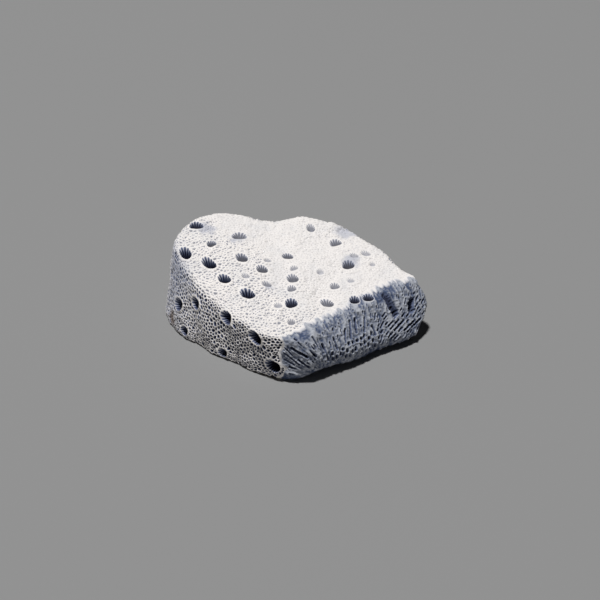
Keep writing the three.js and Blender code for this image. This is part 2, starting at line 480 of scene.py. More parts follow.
class SkinChart:
    """A flat map of the closed skin that keeps angles: the turn stays, and the logarithm of the
    radius grows by the length walked down a meridian divided by the distance from the axis."""

    def __init__(self, turns, rises):
        self.turn = np.linspace(-math.pi, math.pi, turns + 1)
        self.fall = np.linspace(0, math.pi, rises + 1)[1:-1]
        fall, turn = np.meshgrid(self.fall, self.turn, indexing="ij")
        level = np.sin(fall)
        direction = np.stack([level * np.cos(turn), level * np.sin(turn), np.cos(fall)], -1)
        self.place = direction * skin_reach(direction)[..., None]
        step = np.linalg.norm(np.diff(self.place, axis=0), axis=-1)
        off_axis = np.linalg.norm(self.place[..., :2], axis=-1)
        growth = step / ((off_axis[1:] + off_axis[:-1]) / 2)
        log_radius = np.vstack([np.log(off_axis[:1]), growth]).cumsum(0)
        self.excess = log_radius - np.log(np.tan(fall / 2))
        self.across = self.place[1:, :-1] - self.place[:-1, :-1]
        self.along = self.place[:-1, 1:] - self.place[:-1, :-1]
        self.area = np.linalg.norm(np.cross(self.across, self.along), axis=-1)
        self.middle = (self.place[1:, 1:] + self.place[:-1, :-1]) / 2

    def flat(self, place):
        """Map coordinates of places on the skin."""
        direction = place / length_of(place)
        turn = np.arctan2(direction[:, 1], direction[:, 0])
        fall = np.arccos(np.clip(direction[:, 2], -1, 1))
        fall = np.clip(fall, self.fall[0], self.fall[-1])
        row = (fall - self.fall[0]) / (self.fall[1] - self.fall[0])
        column = (turn - self.turn[0]) / (self.turn[1] - self.turn[0])
        i = np.minimum(row.astype(int), len(self.fall) - 2)
        j = np.minimum(column.astype(int), len(self.turn) - 2)
        a, b = row - i, column - j
        excess = (self.excess[i, j] * (1 - a) + self.excess[i + 1, j] * a) * (1 - b)
        excess += (self.excess[i, j + 1] * (1 - a) + self.excess[i + 1, j + 1] * a) * b
        radius = np.exp(excess) * np.tan(fall / 2)
        return np.stack([radius * np.cos(turn), radius * np.sin(turn)], -1)

    def scatter(self, density, share=1.0):
        """Random places on the skin. Density is points per square millimetre at each cell."""
        wished = self.area * density
        count = int(wished.sum() * share)
        picked = random.random(count) * wished.sum()
        cell = np.searchsorted(wished.ravel().cumsum(), picked)
        i, j = np.unravel_index(np.minimum(cell, wished.size - 1), wished.shape)
        a, b = random.random((2, count, 1))
        return on_skin(self.place[i, j] + self.across[i, j] * a + self.along[i, j] * b)


def triangulate(chart, places):
    """Closed net of triangles over places on the skin. The last place is the underside's middle,
    which the map leaves out: the map's outer edge is joined to it."""
    flat = chart.flat(places[:-1])
    points = [Vector(point) for point in flat.tolist()]
    found = delaunay_2d_cdt(points, [], [], 0, 1e-9)
    original = np.array([source[0] for source in found[3]])
    triangles = original[np.array(found[2])]
    edges = np.concatenate([triangles[:, [0, 1]], triangles[:, [1, 2]], triangles[:, [2, 0]]])
    keys = edges[:, 0] * len(places) + edges[:, 1]
    opposite = edges[:, 1] * len(places) + edges[:, 0]
    outer = edges[~np.isin(opposite, keys)]
    last = np.full(len(outer), len(places) - 1)
    return np.concatenate([triangles, np.stack([outer[:, 1], outer[:, 0], last], -1)])


def relax(chart, places, free, spacing, rounds):
    """Moves each free point to the middle of its triangles, weighted by area over the fourth power
    of the distance that neighbours should have there, and back on to the skin; then joins them
    anew."""
    triangles = triangulate(chart, places)
    for _ in range(rounds):
        corners = places[triangles]
        middle = corners.mean(1)
        area = length_of(np.cross(corners[:, 1] - corners[:, 0], corners[:, 2] - corners[:, 0]))[:, 0]
        pull = area / spacing[triangles].mean(1) ** 4
        total = np.zeros(len(places))
        moved = np.zeros((len(places), 3))
        for k in range(3):
            total += np.bincount(triangles[:, k], pull, len(places))
            for axis in range(3):
                moved[:, axis] += np.bincount(triangles[:, k], pull * middle[:, axis], len(places))
        moved = on_skin(moved / total[:, None])
        places = np.where(free[:, None], moved, places)
        triangles = triangulate(chart, places)
    return places, triangles


NEARLY_UPRIGHT = 0.9


def tangents(normal):
    """Two directions square to each normal and to each other."""
    tilted = np.abs(normal[:, 2:]) < NEARLY_UPRIGHT
    helper = np.where(tilted, UPWARD, np.array([0.0, 1.0, 0.0]))
    first = np.cross(helper, normal)
    first /= length_of(first)
    return first, np.cross(normal, first)


def large_pores():
    """Middle, width and depth of every large pore."""
    top = np.array(TOP_PORES)
    side = np.array(SIDE_PORES)
    step = np.arange(BACK_PORES["count"])
    turn = BACK_PORES["from"] + (BACK_PORES["to"] - BACK_PORES["from"]) * step / (len(step) - 1)
    height = np.array(BACK_PORES["heights"])[step % len(BACK_PORES["heights"])]
    back = side_places(turn, height)
    middles = [top_places(top[:, 0], top[:, 1]), side_places(side[:, 0], side[:, 1]), back]
    widths = [top[:, 2], side[:, 2], np.full(len(step), BACK_PORES["width"])]
    depths = [top[:, 3], side[:, 3], np.full(len(step), BACK_PORES["depth"])]
    return np.concatenate(middles), np.concatenate(widths), np.concatenate(depths)


def far_directions(normal):
    """The direction in which large pores are drawn out, laid into each skin plane."""
    far = PORE_FAR_WAY - (PORE_FAR_WAY * normal).sum(-1, keepdims=True) * normal
    return far / length_of(far)


def pore_rings(middle, width, depth):
    """Points of each large pore, as pore, ring, point: circles round the middle, in and out
    between septa and grooves, sunk square to the skin. The septa stand out most on the far wall.
    The mouth is drawn out to the far side, the rings below it less and less, and they shift to
    the near side. Below the rim, the walls are a little uneven. Ring 0 is the rim on the skin.
    Gives also how far each direction points to the far side, from -1 to 1."""
    normal = skin_normal(middle)
    first, second = tangents(normal)
    far = far_directions(normal)
    count = 2 * SEPTA
    start = random.random(len(middle)) * 2 * math.pi
    turn = start[:, None] + np.arange(count) / count * 2 * math.pi
    outward = first[:, None] * np.cos(turn)[..., None] + second[:, None] * np.sin(turn)[..., None]
    farness = (outward * far[:, None]).sum(-1)
    sway = 1 + PORE_SWAY * np.sin(2 * turn + start[:, None] * 3)
    uneven = PORE_UNEVENNESS * random.random(turn.shape)
    standing = np.where(np.arange(count) % 2 == 0, in_range(SEPTA_BY_FARNESS, farness), 0)
    standing = standing * in_range(SEPTA_BY_CHANCE, random.random(turn.shape))
    rings = []
    for share, groove, ridge in ((0.0, PORE_RIM, PORE_RIM), *PORE_RINGS):
        stretch = PORE_STRETCH * (1 - share) ** PORE_STRETCH_FALL
        drawn = 1 + stretch * np.maximum(farness, 0) ** 2
        half = (groove - (groove - ridge) * standing) * sway * drawn * width[:, None] / 2
        half = half * (1 - uneven * min(share / UNEVEN_BY, 1))
        nearer = far * (PORE_LEAN * share * width)[:, None]
        ring = on_skin((middle - nearer)[:, None] + outward * half[..., None])
        sunk = share * depth
        rings.append(ring - normal[:, None] * sunk[:, None, None])
    return np.stack(rings, 1), farness


def seen_slots():
    """Ends, widths and depths of the cut tubes that the front shows."""
    rows = np.array(SEEN_SLOTS)
    low, high = side_places(rows[:, 2], rows[:, 3]), side_places(rows[:, 0], rows[:, 1])
    return low, high, rows[:, 4], np.full(len(rows), SEEN_SLOT_DEPTH)


# Kinds of cut tube: least length, range of length, least width, range of width, least depth,
# range of depth, least clearance to others, and the share of chances that are taken.
TUBE_KINDS = {
    "fan": (1.1, 1.7, 0.12, 0.06, 0.2, 0.16, 0.12, 1.0),
    "end": (0.35, 0.6, 0.15, 0.09, 0.24, 0.16, 0.08, 1.0),
    "fringe": (0.2, 0.3, 0.1, 0.06, 0.08, 0.08, 0.15, 0.15),
    "low hole": (0.22, 0.14, 0.2, 0.06, 0.24, 0.14, 0.08, 1.0),
    "hole": (0.32, 0.16, 0.27, 0.08, 0.34, 0.14, 0.09, 1.0),
    "plain": (0.2, 0.5, 0.12, 0.08, 0.1, 0.12, 0.4, 0.05),
    "middle": (0.25, 0.5, 0.14, 0.09, 0.15, 0.16, 0.2, 0.2),
}

# Where the kinds stand: distances to the right of the fan's foot, and heights over the underside
# with their sway. Plain ones also stand only where a random value is below PLAIN_BELOW.
FAN_TO = 0.2
END_FROM = 6.8
END_BELOW = 3.7
FRINGE_ABOVE = 4.1
LOW_HOLES_BELOW = 1.25
HOLES_BELOW = 2.6
PLAIN_TO = 2.6
PLAIN_BELOW = 0.55
HEIGHT_SWAY = 0.35


def tube_kinds(place):
    """Which kind of cut tube a place has, by its height and how far to the right it is."""
    along, _ = break_coordinates(place)
    height = place[:, 2] + CENTRE_HEIGHT + HEIGHT_SWAY * grain(place, 1.4, seed=21)
    front = place[:, 1] < BACK_FROM
    cases = [
        front & (along < FAN_TO),
        front & (along > END_FROM) & (height < END_BELOW),
        height > FRINGE_ABOVE,
        height < LOW_HOLES_BELOW,
        height < HOLES_BELOW,
        front & (along < PLAIN_TO) & (grain(place, 1.1, seed=22) < PLAIN_BELOW),
    ]
    return np.select(cases, range(len(cases)), len(cases))


def slot_sizes(place):
    """Length, width, depth and clearance of random cut tubes, and whether each is made."""
    rows = np.array(list(TUBE_KINDS.values()))[tube_kinds(place)]
    a, b, c, d = random.random((4, len(place)))
    length = rows[:, 0] + rows[:, 1] * a
    width = rows[:, 2] + rows[:, 3] * b
    depth = rows[:, 4] + rows[:, 5] * c
    return length, width, depth, rows[:, 6], d < rows[:, 7]


# Chances for a cut tube on each square millimetre, the lowest one's height, the least length of its
# middle line, and the number of points along it that keep others clear.
SLOT_CHANCES = 75.0
LOWEST_SLOT = 0.4
LEAST_LINE = 0.02
CORE_POINTS = 5


def slot_cores(low, high):
    """A few points along each cut tube, for keeping others clear of it."""
    share = np.linspace(0, 1, CORE_POINTS)[:, None]
    return low[:, None] * (1 - share) + high[:, None] * share


def scatter_slots(cells):
    """Cut tubes of the broken faces: first those that the front shows, then random ones along the
    tubes' direction, each kept if it is clear of all before it."""
    low, high, width, depth = (list(part) for part in seen_slots())
    broken = is_broken(cells.middle)
    place = cells.scatter(np.where(broken, SLOT_CHANCES, 0.0))
    long, wide, deep, gap, made = slot_sizes(place)
    direction = tube_direction(place, skin_normal(place))
    reach = direction * (np.maximum(long - wide, LEAST_LINE) / 2)[:, None]
    new_low, new_high = on_skin(place - reach), on_skin(place + reach)
    made &= place[:, 2] > LOWEST_SLOT - CENTRE_HEIGHT
    inside = made & is_broken(new_low) & is_broken(new_high)
    cores = slot_cores(new_low, new_high)
    taken = slot_cores(np.array(low), np.array(high)).reshape(-1, 3)
    taken_width = np.repeat(width, CORE_POINTS)
    for i in np.flatnonzero(inside):
        away = np.sqrt(((taken[:, None] - cores[i]) ** 2).sum(-1).min(1))
        if (away > (taken_width + wide[i]) / 2 + gap[i]).all():
            low.append(new_low[i])
            high.append(new_high[i])
            width.append(wide[i])
            depth.append(deep[i])
            taken = np.vstack([taken, cores[i]])
            taken_width = np.append(taken_width, np.full(CORE_POINTS, wide[i]))
    return np.array(low), np.array(high), np.array(width), np.array(depth)


def line_distance(place, low, high):
    """Distance of places from the straight line between two points."""
    line = high - low
    share = np.clip(((place - low) @ line) / (line @ line), 0, 1)
    return np.linalg.norm(place - (low + share[:, None] * line), axis=-1)


# A cut tube's wall falls between these shares of its half width. Its lip has a height and a width,
# ends this far outside its mouth, and shows where the tube is less deep than this.
SLOT_WALL = (0.55, 1.1)
LIP_HEIGHT = 0.07
LIP_WIDTH = 0.05
LIP_END = 0.15
LIP_DEPTH = 0.02


def slot_relief(place, slots):
    """Height of the cut tubes at each place: steep walls down to a flat bottom, and a low lip
    round each mouth."""
    height = np.zeros(len(place))
    lip = np.zeros(len(place))
    for low, high, width, depth in zip(*slots):
        middle, half = (low + high) / 2, width / 2
        bound = np.linalg.norm(high - low) / 2 + half + LIP_END
        near = np.flatnonzero(((place - middle) ** 2).sum(-1) < bound * bound)
        away = line_distance(place[near], low, high)
        sunk = -depth * smooth_fall(away, half * SLOT_WALL[0], half * SLOT_WALL[1])
        height[near] = np.minimum(height[near], sunk)
        raised = LIP_HEIGHT * np.exp(-(((away - half - LIP_WIDTH) / LIP_WIDTH) ** 2))
        lip[near] = np.maximum(lip[near], raised)
    return np.where(height < -LIP_DEPTH, height, lip)


def groove_relief(place):
    """Height of the large pores that the break cuts lengthwise: a half round over the distance
    from each groove's line; and of the one seen end on, a ring."""
    rows = np.array(GROOVES)
    lows, highs = side_places(rows[:, 0], rows[:, 1]), side_places(rows[:, 2], rows[:, 3])
    height = np.zeros(len(place))
    for low, high, (half, deep) in zip(lows, highs, rows[:, 4:]):
        away = line_distance(place, low, high)
        height = np.minimum(height, -deep * np.sqrt(np.clip(1 - (away / half) ** 2, 0, 1)))
    turn, level, radius, rise, width = END_RING
    middle = side_places(np.array([turn]), np.array([level]))
    away = np.linalg.norm(place - middle, axis=-1)
    return height + rise * np.exp(-(((away - radius) / width) ** 2))


# Flutes, coarse and fine: width across the tubes, length along them, share, seed. Their distance
# across in the fan is the turn times this radius.
FLUTES = ((0.27, 1.5, 0.6, 41), (0.15, 0.6, 0.4, 42))
FLUTE_RADIUS = 2.5


def flutes(place):
    """Fine ridges along the tubes, from -1 to 1: random values that change fast across the tubes
    and slowly along them. Across is the turn round the fan's foot to its left."""
    along, rise = break_coordinates(place)
    turned = np.arctan2(along, np.maximum(rise, LEAST_RISE)) * FLUTE_RADIUS
    across = np.where(along < 0, turned, along)
    back = (place @ BACK_RIGHTWARD) - BACK_LEAN * place[..., 2]
    across = np.where(place[..., 1] > BACK_FROM, back, across)
    climb = np.where(along < 0, np.hypot(along, rise), rise)
    none = np.zeros(across.shape)
    total = np.zeros(across.shape)
    for width, length, share, seed in FLUTES:
        total += share * grain(np.stack([across / width, climb / length, none], -1), 1.0, seed)
    return total


# Relief of the broken faces: the flutes' height and what the fringe adds to it, the heights over
# the underside where the fringe and the relief set in, and what stays of it in tubes and grooves
# deeper than these.
FLUTE_HEIGHT = 0.1
FRINGE_HEIGHT = 0.14
FRINGE_FROM = (3.8, 4.8)
FOOT_TO = (0.0, 0.35)
DEEP_SLOT = 0.05
DEEP_GROOVE = 0.1
RELIEF_IN_HOLLOWS = 0.3

# Painted shade in tubes and grooves: how dark they are painted, and the depths over which that grows.
SLOT_SHADE = 0.42
SLOT_SHADE_DEPTHS = (0.02, 0.3)
GROOVE_SHADE = 0.33
GROOVE_SHADE_DEPTHS = (0.05, 0.5)


def broken_relief(place, slots):
    """Height over the smooth skin on the broken faces: flutes, tallest in the fringe along the upper
    edge, roughness, the cut tubes and the grooves; nothing at the very foot. Gives also the painted
    shade in the tubes and grooves, darker the deeper they are."""
    level = place[:, 2] + CENTRE_HEIGHT
    fringe = smooth_step(level, *FRINGE_FROM)
    height = (FLUTE_HEIGHT + FRINGE_HEIGHT * fringe) * flutes(place)
    height += roughness(place, BREAK_ROUGHNESS)
    deep = slot_relief(place, slots)
    groove = groove_relief(place)
    in_hollow = (deep < -DEEP_SLOT) | (groove < -DEEP_GROOVE)
    height = height * np.where(in_hollow, RELIEF_IN_HOLLOWS, 1.0) + deep
    slot_shade = SLOT_SHADE * smooth_step(-deep, *SLOT_SHADE_DEPTHS)
    groove_shade = GROOVE_SHADE * smooth_step(-groove, *GROOVE_SHADE_DEPTHS)
    return height * smooth_step(level, *FOOT_TO) + groove, np.maximum(slot_shade, groove_shade)


def natural_relief(place):
    """Height over the smooth skin on natural skin: a slight roughness and the notch in the back
    edge, none underneath."""
    rough = roughness(place, SKIN_ROUGHNESS)
    for *middle, radius, rise in BACK_NOTCH:
        gap = ((place - np.array(middle)) ** 2).sum(-1)
        rough = rough + rise * np.exp(-gap / radius**2)
    return np.where(is_under(place), 0.0, rough)


def outside_rims(place, middle, width, margin):
    """True where a place is outside the drawn-out rim of every large pore by a margin."""
    keep = np.ones(len(place), bool)
    for centre, far, half in zip(middle, far_directions(skin_normal(middle)), width / 2):
        away = place - centre
        distance = np.linalg.norm(away, axis=-1)
        farness = np.maximum(away @ far, 0) / distance
        keep &= distance > half * PORE_RIM * (1 + PORE_STRETCH * farness**2) * RIM_ROOM + margin
    return keep


def stack(parts):
    """Joins arrays, and gives where each one starts and ends."""
    ends = np.cumsum([0] + [len(part) for part in parts])
    return np.concatenate(parts), [slice(a, b) for a, b in zip(ends[:-1], ends[1:])]


def lay_out(middle, rim, width):
    """Places of the whole net, its triangles, which places are middles, rims, small pores, close
    points and the pole, and the cut tubes. The small pores are spread evenly first, over broken
    faces too; those are then left out, and close points fill their room."""
    chart = SkinChart(*CHART_GRID)
    cells = SkinChart(*CELL_GRID)
    pole = np.array([[0.0, 0.0, -CENTRE_HEIGHT]])
    wished = np.where(is_under(cells.middle), UNDERSIDE_SPACING, SKIN_SPACING)
    pores = cells.scatter(1 / wished**2, POINTS_PER_SQUARE)
    pores = pores[outside_rims(pores, middle, width, PORE_MARGIN)]
    places, parts = stack([middle, rim, pores, pole])
    free = np.zeros(len(places), bool)
    free[parts[2]] = True
    spacing = np.where(is_under(places), UNDERSIDE_SPACING, SKIN_SPACING)
    places, _ = relax(chart, places, free, spacing, RELAXING_ROUNDS)
    pores = places[parts[2]]
    pores = pores[brokenness(pores) < FINE_FROM]

    fine = brokenness(cells.middle) > FINE_FROM
    wished = np.where(cells.middle[..., 1] > BACK_FROM, BACK_SPACING, FRONT_SPACING)
    fill = cells.scatter(np.where(fine, 1 / wished**2, 0.0), POINTS_PER_SQUARE)
    fill = fill[outside_rims(fill, middle, width, FILL_MARGIN)]
    places, parts = stack([middle, rim, pores, fill, pole])
    free = np.zeros(len(places), bool)
    free[parts[3]] = True
    places, triangles = relax(chart, places, free, np.ones(len(places)), BREAK_ROUNDS)
    return places, triangles, parts, scatter_slots(cells)


def downhill(normal):
    """The steepest way down in each skin plane."""
    way = normal * normal[:, 2:] - UPWARD
    return way / np.maximum(length_of(way), 1e-6)


def small_pore_faces(places, triangles, is_pit, openness, squeeze):
    """Triangles of the net with its small pores opened. Every corner of a triangle at a small
    pore moves towards the triangle's middle and makes one point of that pore's rim; squeezed
    pores stay shorter downhill. Gives the new rim points, the triangle that each came from, and
    all triangles."""
    corner = places[triangles]
    middle = corner.mean(1, keepdims=True)
    pit_corner = is_pit[triangles]
    # Pores next to a broken face or a large pore open further that way.
    widening = 1 + OPENING_TO_NEIGHBOUR * (3 - pit_corner.sum(1, keepdims=True))
    share = np.minimum(openness[triangles] * widening, 1.0)
    step = (middle - corner) * share[..., None]
    down = downhill(skin_normal(places))[triangles]
    step -= down * ((step * down).sum(-1) * squeeze[triangles])[..., None]
    rims = (corner + step)[pit_corner]
    owner = np.nonzero(pit_corner)[0]
    index = triangles.copy()
    index[pit_corner] = len(places) + np.arange(len(rims))

    tail = triangles.ravel(order="F")
    head = np.roll(triangles, -1, axis=1).ravel(order="F")
    tail_index = index.ravel(order="F")
    head_index = np.roll(index, -1, axis=1).ravel(order="F")
    key, back_key = tail * len(places) + head, head * len(places) + tail
    order = np.argsort(key)
    twin = order[np.minimum(np.searchsorted(key[order], back_key), len(order) - 1)]
    paired = key[twin] == back_key
    # The triangle left of an edge runs along it from tail to head, and its twin back again.
    twin = twin[paired]
    tail, head = tail[paired], head[paired]
    left_tail, left_head = tail_index[paired], head_index[paired]
    right_tail, right_head = head_index[twin], tail_index[twin]
    wall = np.stack([right_tail, right_head, left_head, left_tail], -1)[tail < head]
    fan = np.stack([tail, right_tail, left_tail], -1)[is_pit[tail]]
    faces = np.concatenate([index, wall[:, [0, 1, 2]], wall[:, [0, 2, 3]], fan])
    return rims, owner, faces


def large_pore_faces(rings, first_rim, first_inner):
    """Triangles of the large pores: rings joined one inside the next, and a fan to the bottom,
    which comes after the rings' points."""
    pores, levels, around = rings.shape[:3]
    rim = (first_rim + np.arange(pores * around)).reshape(pores, 1, around)
    inner = (first_inner + np.arange(pores * (levels - 1) * around)).reshape(pores, levels - 1, around)
    index = np.concatenate([rim, inner], 1)
    ahead = np.roll(index, -1, axis=2)
    bottom = first_inner + inner.size + np.arange(pores)
    bottom = np.repeat(bottom[:, None], around, 1)
    parts = [
        np.stack([index[:, :-1], ahead[:, :-1], ahead[:, 1:]], -1),
        np.stack([index[:, :-1], ahead[:, 1:], index[:, 1:]], -1),
        np.stack([index[:, -1], ahead[:, -1], bottom], -1),
    ]
    return np.concatenate([part.reshape(-1, 3) for part in parts])


# Painted shade on the walls of a large pore: at the mouth, the rise down to its bottom, and the power
# of the share of the depth. Then where the far wall sets in, the depths of pores over which this
# painted shade grows, and how far shallow ones pale from it, with the depths over which that ends.
WALL_SHADES = {
    "near septum": (0.08, 0.7, 1.0),
    "near groove": (0.35, 1.6, 1.0),
    "far septum": (0.01, 0.9, 1.6),
    "far groove": (0.16, 1.5, 1.0),
}
FAR_WALL_FROM = (-0.3, 0.7)
SHADE_DEPTHS = (-0.1, 0.8)
PORE_FADING = 0.45
PORE_FADING_TO = (0.25, 0.9)


def pore_shades(farness, depth):
    """How much painted shade each point inside a large pore gets: more further down, less on the
    septa, on the far wall and in shallow pores. Gives also how far that painted shade gives way to a
    pale colour."""
    pores, around = farness.shape
    shade = np.zeros((pores, len(PORE_RINGS), around))
    septum = np.arange(around) % 2 == 0
    far_wall = smooth_step(farness, *FAR_WALL_FROM)
    for level, (share, _, _) in enumerate(PORE_RINGS):
        wall = {key: min(a + b * share**c, 1) for key, (a, b, c) in WALL_SHADES.items()}
        near = np.where(septum, wall["near septum"], wall["near groove"])
        far = np.where(septum, wall["far septum"], wall["far groove"])
        shade[:, level] = near + (far - near) * far_wall
    strength = smooth_step(depth, *SHADE_DEPTHS)
    shade *= np.where(septum, strength[:, None] ** 3, strength[:, None])[:, None]
    paling_by_light_and_wear = PORE_FADING * (1 - smooth_step(depth, *PORE_FADING_TO))
    paling_by_light_and_wear = np.concatenate([np.repeat(paling_by_light_and_wear, len(PORE_RINGS) * around), paling_by_light_and_wear])
    return np.concatenate([shade.ravel(), strength**2]), paling_by_light_and_wear


def build_coral():
    """The coral's points in millimetres from the centre, its triangles, the places of the smooth skin
    under the points, and at each point its painted shade for depth, how broken it is, and how far its
    painted pore shade pales, by wear and as painted light on level skin."""
    middle, width, depth = large_pores()
    rings, farness = pore_rings(middle, width, depth)
    rim = rings[:, 0].reshape(-1, 3)
    places, triangles, parts, slots = lay_out(middle, rim, width)

    # Triangles between points of one large pore are left out, because its own rings close it.
    owner = np.full(len(places), -1)
    owner[parts[0]] = np.arange(len(middle))
    owner[parts[1]] = np.repeat(np.arange(len(middle)), 2 * SEPTA)
    same = (owner[triangles] == owner[triangles[:, :1]]).all(1) & (owner[triangles[:, 0]] >= 0)
    triangles = triangles[~same]

    is_pit = np.zeros(len(places), bool)
    is_pit[parts[2]] = True
    fill = parts[3]
    normal = skin_normal(places)
    worn = wornness(places)
    chance = random.random((3, len(places)))
    level = smooth_step(normal[:, 2], *LEVEL_SLOPES)
    pit_depth = SMALL_PORE_DEPTH * (1 - WORN_DEPTH_LOSS * worn) * in_range(DEPTH_BY_CHANCE, chance[0])
    openness = in_range(OPENNESS_BY_CHANCE, chance[1]) * (1 - WORN_OPENNESS_LOSS * worn)
    squeeze = level * in_range(SQUEEZE_BY_CHANCE, chance[2])
    rims, rim_triangle, faces = small_pore_faces(places, triangles, is_pit, openness, squeeze)

    height = natural_relief(places)
    # Painted shade: full at the bottom of each small pore.
    painted_depth_shade = np.where(is_pit, 1.0, 0.0)
    on_break = np.zeros(len(places))
    on_break[fill] = smooth_step(brokenness(places[fill]), *RELIEF_FROM)
    relief, relief_painted_shade = broken_relief(places[fill], slots)
    height[fill] += (relief - height[fill]) * on_break[fill]
    painted_depth_shade[fill] = relief_painted_shade * on_break[fill]
    height[is_pit] -= pit_depth[is_pit]
    height[parts[1]] += PORE_LIP * np.maximum(-farness, 0).ravel()
    # Some of the walls between the small pores are worn down, so that pores run together.
    lowered = smooth_step(random.random(len(triangles)), *LOWERED_CHANCES)[rim_triangle]
    slope = smooth_step(skin_normal(rims)[:, 2], *LOWERED_SLOPES)
    lowered *= np.where(is_under(rims), 0.0, (1 + slope) / 2)
    lowering = WALL_LOWERING * lowered * (1 - WORN_LOWERING_LOSS * wornness(rims))
    rim_height = natural_relief(rims) - lowering
    rim_height += np.where(is_under(rims), 0.0, roughness(rims, WALL_ROUGHNESS))
    rims = rims + skin_normal(rims) * rim_height[:, None]
    pore_normal = skin_normal(middle)
    floor = middle - pore_normal * (depth * PORE_FLOOR)[:, None]
    floor = floor - far_directions(pore_normal) * (PORE_LEAN * width)[:, None]
    inner = rings[:, 1:].reshape(-1, 3)
    faces = np.concatenate([faces, large_pore_faces(rings, parts[1].start, len(places) + len(rims))])

    broken = np.concatenate([on_break, np.zeros(len(rims) + len(inner) + len(floor))])
    points = np.concatenate([places + normal * height[:, None], rims, inner, floor])
    points[:, 2] = np.maximum(points[:, 2], -CENTRE_HEIGHT)
    pore_shade, pore_paling = pore_shades(farness, depth)
    # Painted shade for depth: in small pores, on lowered walls, in tubes and grooves, and down the
    # walls of large pores.
    shade = np.concatenate([painted_depth_shade, LOWERED_SHADE * lowered, pore_shade])
    skin = np.concatenate([places, rims, on_skin(inner), on_skin(floor)])
    level = smooth_step(skin_normal(skin)[:, 2], *LEVEL_SLOPES)
    # Level skin lies in the light from above: the painted shade of its pores pales as painted light,
    # and more where they are worn; not on the broken faces.
    paling_by_light_and_wear = level * in_range(LEVEL_PALING_BY_WEAR, wornness(skin)) * (1 - broken)
    paling_by_light_and_wear[-len(pore_paling):] = pore_paling

    a, b, c = faces.T
    faces = faces[(a != b) & (b != c) & (c != a)]
    used, faces = np.unique(faces, return_inverse=True)
    marks = {"painted_depth_shade": shade[used], "broken": broken[used], "paling_by_light_and_wear": paling_by_light_and_wear[used]}
    return points[used], faces.reshape(-1, 3), skin[used], marks


def mesh_object(name, points, triangles, attributes):
    """A smooth mesh from arrays, with a number at each point for each attribute."""
    mesh = bpy.data.meshes.new(name)
    mesh.vertices.add(len(points))
    mesh.vertices.foreach_set("co", points.astype(np.float32).ravel())
    mesh.loops.add(triangles.size)
    mesh.loops.foreach_set("vertex_index", triangles.astype(np.int32).ravel())
    mesh.polygons.add(len(triangles))
    mesh.polygons.foreach_set("loop_start", np.arange(0, triangles.size, 3, dtype=np.int32))
    mesh.update(calc_edges=True)
    mesh.polygons.foreach_set("use_smooth", np.ones(len(triangles), bool))
    for key, values in attributes.items():
        layer = mesh.attributes.new(key, "FLOAT", "POINT")
        layer.data.foreach_set("value", values.astype(np.float32))
    mesh.validate()
    piece = bpy.data.objects.new(name, mesh)
    bpy.context.scene.collection.objects.link(piece)
    return piece


def find_centre():
    """Where the slab's centre lies in the frame, in metres: the CAD box's middle less the middle
    of the smooth skin's own box, at its height over the underside."""
    flat = SkinChart(*BOX_GRID).place.reshape(-1, 3)
    middle = (flat.min(0) + flat.max(0)) / 2
    low, high = np.array(cad_low), np.array(cad_high)
    centre = (low + high) / 2 - middle * MILLIMETRE
    centre[2] = low[2] + CENTRE_HEIGHT * MILLIMETRE
    return centre


class NodeTree:
    """Short calls for a material's nodes."""

    def __init__(self, material):
        material.use_nodes = True
        self.tree = material.node_tree
        self.tree.nodes.clear()

    def add(self, kind, **values):
        node = self.tree.nodes.new(kind)
        for key, value in values.items():
            setattr(node, key, value)
        return node

    def join(self, source, target):
        self.tree.links.new(source, target)

    def attribute(self, name):
        return self.add("ShaderNodeAttribute", attribute_name=name).outputs["Fac"]

    def noise(self, scale, detail=4.0, roughness=0.6):
        place = self.add("ShaderNodeTexCoord").outputs["Object"]
        node = self.add("ShaderNodeTexNoise")
        node.inputs["Scale"].default_value = scale
        node.inputs["Detail"].default_value = detail
        node.inputs["Roughness"].default_value = roughness
        self.join(place, node.inputs["Vector"])
        return node.outputs["Fac"]

    def map(self, value, from_low, from_high, to_low=0.0, to_high=1.0):
        node = self.add("ShaderNodeMapRange", interpolation_type="SMOOTHSTEP")
        self.join(value, node.inputs["Value"])
        node.inputs["From Min"].default_value = from_low
        node.inputs["From Max"].default_value = from_high
        node.inputs["To Min"].default_value = to_low
        node.inputs["To Max"].default_value = to_high
        return node.outputs["Result"]

    def blend(self, share, first, second):
        node = self.add("ShaderNodeMix", data_type="RGBA")
        colours = [socket for socket in node.inputs if socket.type == "RGBA"]
        self.join(share, node.inputs["Factor"])
        for socket, value in zip(colours, (first, second)):
            if isinstance(value, tuple):
                socket.default_value = (*value, 1.0)
            else:
                self.join(value, socket)
        return [socket for socket in node.outputs if socket.type == "RGBA"][0]


# Colours, and the scales of the noise that varies the skin's colour, the roughness and the bump.
SKIN_WHITE = (0.89, 0.85, 0.82)
SKIN_COOL = (0.78, 0.765, 0.76)
SKIN_BLUE = (0.38, 0.41, 0.51)
# The broken faces: their own blue-grey, darker in low places as painted shade and paler on ridge tops
# as painted light.
BREAK_SHADED_BLUE = (0.065, 0.09, 0.165)
BREAK_LIT_PALE = (0.475, 0.495, 0.545)
# Pores: the coral's own blue near the mouth, darkening to near black further in; both stand in for
# shade as painted shade.
PORE_SHADE_BLUE = (0.14, 0.17, 0.275)
PORE_SHADE_DARK = (0.010, 0.012, 0.034)
# Pale colour of pores on level, lit skin, as painted light, and of worn ones.
PORE_LIT_AND_WORN = (0.62, 0.61, 0.62)
STAIN_BROWN = (0.16, 0.10, 0.06)
FLOOR_GREY = (0.271, 0.271, 0.271)
MOTTLE_SCALE = 350
GLOSS_SCALE = 900
BUMP_SCALE = 9000


def start_material(name, specular):
    """A new material, its nodes and its one shader."""
    material = bpy.data.materials.new(name)
    nodes = NodeTree(material)
    output = nodes.add("ShaderNodeOutputMaterial")
    shader = nodes.add("ShaderNodeBsdfPrincipled")
    nodes.join(shader.outputs["BSDF"], output.inputs["Surface"])
    shader.inputs["Specular IOR Level"].default_value = specular
    return material, nodes, shader


